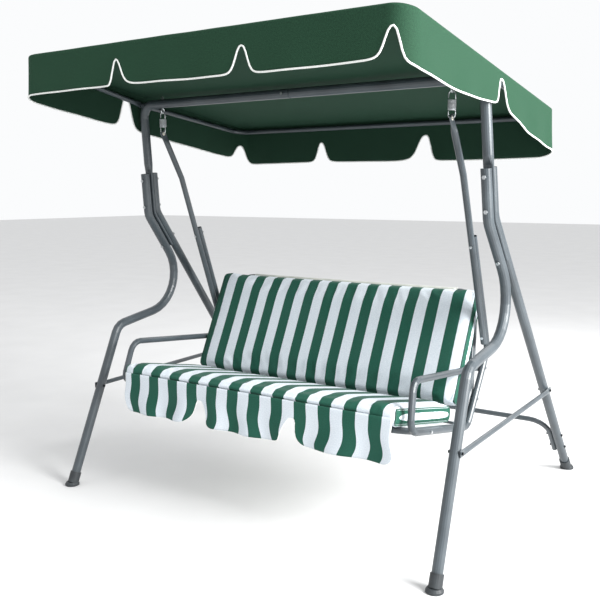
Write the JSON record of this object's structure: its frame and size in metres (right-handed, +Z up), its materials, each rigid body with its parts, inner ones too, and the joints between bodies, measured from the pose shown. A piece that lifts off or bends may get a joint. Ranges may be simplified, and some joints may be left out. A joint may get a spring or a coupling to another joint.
{
  "type": "canopy swing bench",
  "caption": "Garden swing bench: cushioned seat hung on springs from a tube frame, with a tilting fabric canopy.",
  "frame": {"origin": "on the floor, in the middle of the whole bench's box", "axes": "+Z up; +Y towards the back of the bench; +X towards the right-hand end as seen from the front"},
  "size_m": [1.76, 1.6394, 1.7668],
  "materials": {
    "frame_enamel": "satin",
    "zinc_steel": "satin",
    "foot_rubber": "matte",
    "bush_nylon": "matte",
    "screw_plastic": "matte",
    "striped_canvas": "matte",
    "sling_canvas": "matte",
    "canopy_canvas": "matte"
  },
  "bodies": {
    "frame": {"beam_bolt": "zinc_steel", "brace_bolt_front_left": "zinc_steel", "brace_bolt_front_right": "zinc_steel", "brace_bolt_rear_left": "zinc_steel", "brace_bolt_rear_right": "zinc_steel", "cross_bolt_1_left": "zinc_steel", "cross_bolt_1_right": "zinc_steel", "cross_bolt_2_left": "zinc_steel", "cross_bolt_2_right": "zinc_steel", "eye_bolt_left": "zinc_steel", "eye_bolt_right": "zinc_steel", "foot_cap_front_left": "foot_rubber", "foot_cap_front_right": "foot_rubber", "foot_cap_rear_left": "foot_rubber", "foot_cap_rear_right": "foot_rubber", "front_leg_left": "frame_enamel", "front_leg_right": "frame_enamel", "leg_bolt_1_left": "zinc_steel", "leg_bolt_1_right": "zinc_steel", "leg_bolt_2_left": "zinc_steel", "leg_bolt_2_right": "zinc_steel", "leg_bolt_3_left": "zinc_steel", "leg_bolt_3_right": "zinc_steel", "pivot_boss_left": "frame_enamel", "pivot_boss_right": "frame_enamel", "rear_cross_tube": "frame_enamel", "rear_leg_left": "frame_enamel", "rear_leg_right": "frame_enamel", "side_brace_left": "frame_enamel", "side_brace_right": "frame_enamel", "top_bow_left": "frame_enamel", "top_bow_right": "frame_enamel"},
    "springs": {"spring_left": "zinc_steel", "spring_right": "zinc_steel"},
    "bushes": {"hanger_bush_left": "bush_nylon", "hanger_bush_right": "bush_nylon"},
    "seat": {"arm_bolt_left": "zinc_steel", "arm_bolt_right": "zinc_steel", "back_cushion": "striped_canvas", "basket_bolt_1_left": "zinc_steel", "basket_bolt_1_right": "zinc_steel", "basket_bolt_2_left": "zinc_steel", "basket_bolt_2_right": "zinc_steel", "hanger_bolt_1_left": "zinc_steel", "hanger_bolt_1_right": "zinc_steel", "hanger_bolt_2_left": "zinc_steel", "hanger_bolt_2_right": "zinc_steel", "hanger_left": "frame_enamel", "hanger_right": "frame_enamel", "seat_basket": "frame_enamel", "seat_cushion": "striped_canvas", "seat_skirt": "striped_canvas", "seat_sling": "sling_canvas", "side_frame_left": "frame_enamel", "side_frame_right": "frame_enamel"},
    "canopy": {"canopy_cover": "canopy_canvas", "canopy_tube_front": "frame_enamel", "canopy_tube_rear": "frame_enamel"},
    "tilt_screw_left": {"tilt_screw_left": "screw_plastic"},
    "tilt_screw_right": {"tilt_screw_right": "screw_plastic"}
  },
  "joints": [
    {"name": "spring_swing", "type": "hinge", "parent": "frame", "child": "springs", "pos_m": [0, -0.19766, 1.598], "axis": [1, 0, 0], "range_deg": [-20, 20]},
    {"name": "spring_stretch", "type": "slide", "parent": "springs", "child": "bushes", "axis": [0, 0, -1], "range_m": [0, 0.025], "stiffness_N_per_m": 100000, "springref_m": -0.003, "deforming": ["spring_left", "spring_right"]},
    {"name": "seat_pivot", "type": "hinge", "parent": "bushes", "child": "seat", "pos_m": [0, -0.19766, 1.5037], "axis": [1, 0, 0], "range_deg": [-12, 12]},
    {"name": "canopy_tilt", "type": "hinge", "parent": "frame", "child": "canopy", "pos_m": [0, -0.19766, 1.633], "axis": [1, 0, 0], "range_deg": [-10, 20]},
    {"name": "tilt_screw_left_turn", "type": "hinge", "parent": "frame", "child": "tilt_screw_left", "pos_m": [-0.796, -0.19766, 1.633], "axis": [1, 0, 0], "continuous": true},
    {"name": "tilt_screw_right_turn", "type": "hinge", "parent": "frame", "child": "tilt_screw_right", "pos_m": [0.796, -0.19766, 1.633], "axis": [1, 0, 0], "continuous": true}
  ]
}
